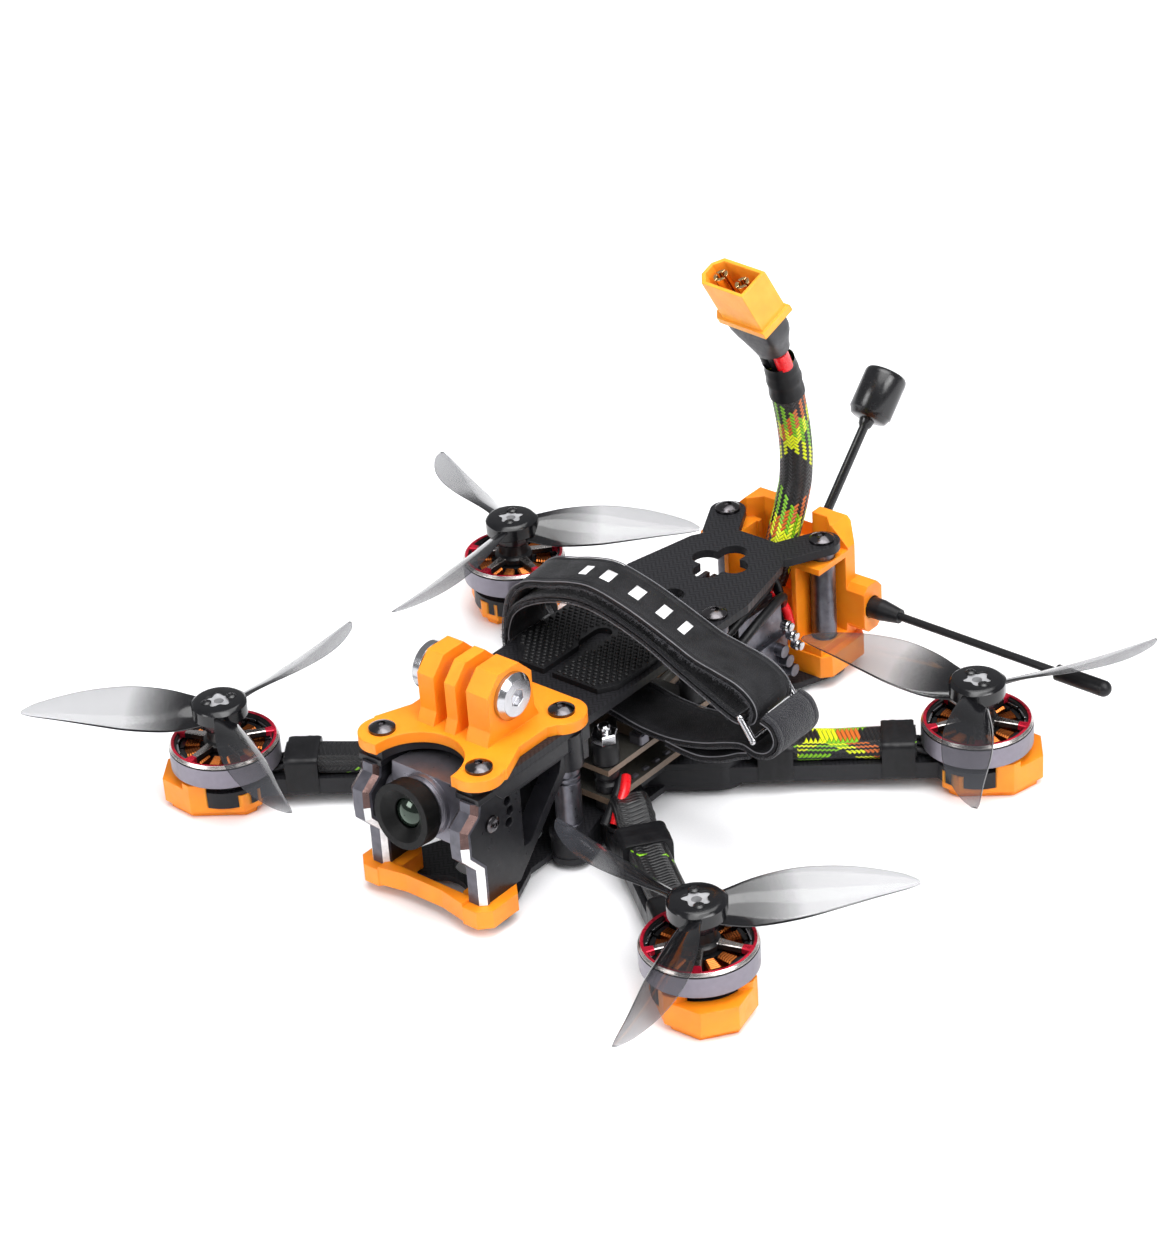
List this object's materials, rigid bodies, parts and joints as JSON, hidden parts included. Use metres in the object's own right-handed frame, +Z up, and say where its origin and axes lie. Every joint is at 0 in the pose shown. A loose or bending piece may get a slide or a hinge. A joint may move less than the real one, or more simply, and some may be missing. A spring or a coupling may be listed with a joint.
{
  "type": "fpv racing drone",
  "caption": "Quadcopter racing drone: carbon arms, spinning rotors, tilting nose camera, battery strap and a sleeved battery lead.",
  "frame": {"origin": "centre of the bottom plate's underside, midway between the four motor axes", "axes": "+Z up, nose towards -Y, +X towards the drone's own left side"},
  "size_m": [0.2064, 0.2102, 0.1034],
  "materials": {
    "carbon_plate": "woven carbon fibre, satin epoxy",
    "battery_rubber": "moulded rubber with raised bumps",
    "orange_tpu": "soft orange moulded plastic",
    "black_aluminium": "black anodised",
    "gunmetal": "gunmetal anodised",
    "chrome_steel": "polished",
    "camera_metal": "satin",
    "black_plastic": "matte",
    "lens_glass": "coated glass",
    "black_steel": "black oxide",
    "circuit_board": "solder mask with parts",
    "motor_black": "black anodised",
    "copper_windings": "enamelled copper",
    "bell_silver": "satin lilac grey with red trim",
    "smoke_plastic": "clear smoke grey polycarbonate",
    "braided_sleeve": "braided, yellow green and black",
    "amber_plastic": "amber nylon",
    "gold_contact": "gold plated",
    "strap_leather": "grained, light cut edges"
  },
  "bodies": {
    "root": {"bottom_plate": "carbon_plate", "mid_plate": "carbon_plate", "top_plate": "carbon_plate", "battery_pad": "battery_rubber", "arm_front_left": "carbon_plate", "arm_front_right": "carbon_plate", "arm_rear_left": "carbon_plate", "arm_rear_right": "carbon_plate", "foot_front_left": "orange_tpu", "foot_front_right": "orange_tpu", "foot_rear_left": "orange_tpu", "foot_rear_right": "orange_tpu", "side_plate_left": "black_aluminium", "side_plate_right": "black_aluminium", "standoffs": "gunmetal", "action_camera_mount": "orange_tpu", "action_mount_bolt": "chrome_steel", "action_mount_nut": "chrome_steel", "front_bumper": "orange_tpu", "rear_mount": "orange_tpu", "esc_board": "circuit_board", "flight_controller": "circuit_board", "stack_bolts": "chrome_steel", "video_unit": "gunmetal", "motor_base_front_left": "motor_black", "motor_base_front_right": "motor_black", "motor_base_rear_left": "motor_black", "motor_base_rear_right": "motor_black", "stator_front_left": "copper_windings", "stator_front_right": "copper_windings", "stator_rear_left": "copper_windings", "stator_rear_right": "copper_windings", "motor_wires": "braided_sleeve", "wire_bands": "black_plastic", "power_lead": "braided_sleeve", "connector_boot": "black_plastic", "connector_housing": "amber_plastic", "connector_pins": "gold_contact", "video_antenna": "black_plastic", "receiver_antenna": "black_plastic", "battery_strap": "strap_leather", "strap_ring": "chrome_steel", "top_screws": "black_steel", "bottom_screws": "black_steel"},
    "rotor_front_left": {"bell_front_left": "bell_silver", "propeller_front_left": "smoke_plastic", "prop_screws_front_left": "black_steel"},
    "rotor_front_right": {"bell_front_right": "bell_silver", "propeller_front_right": "smoke_plastic", "prop_screws_front_right": "black_steel"},
    "rotor_rear_left": {"bell_rear_left": "bell_silver", "propeller_rear_left": "smoke_plastic", "prop_screws_rear_left": "black_steel"},
    "rotor_rear_right": {"bell_rear_right": "bell_silver", "propeller_rear_right": "smoke_plastic", "prop_screws_rear_right": "black_steel"},
    "camera": {"camera_body": "camera_metal", "camera_lens": "black_plastic", "lens_glass": "lens_glass", "camera_screws": "black_steel"}
  },
  "joints": [
    {"name": "rotor_front_left_spin", "type": "hinge", "parent": "root", "child": "rotor_front_left", "pos_m": [0.067, -0.05, 0.0138], "axis": [0, 0, 1], "continuous": true},
    {"name": "rotor_front_right_spin", "type": "hinge", "parent": "root", "child": "rotor_front_right", "pos_m": [-0.067, -0.05, 0.0138], "axis": [0, 0, 1], "continuous": true},
    {"name": "rotor_rear_left_spin", "type": "hinge", "parent": "root", "child": "rotor_rear_left", "pos_m": [0.067, 0.05, 0.0138], "axis": [0, 0, 1], "continuous": true},
    {"name": "rotor_rear_right_spin", "type": "hinge", "parent": "root", "child": "rotor_rear_right", "pos_m": [-0.067, 0.05, 0.0138], "axis": [0, 0, 1], "continuous": true},
    {"name": "camera_tilt", "type": "hinge", "parent": "root", "child": "camera", "pos_m": [0, -0.0535, 0.0241], "axis": [-1, 0, 0], "range_deg": [-7, 30]}
  ]
}
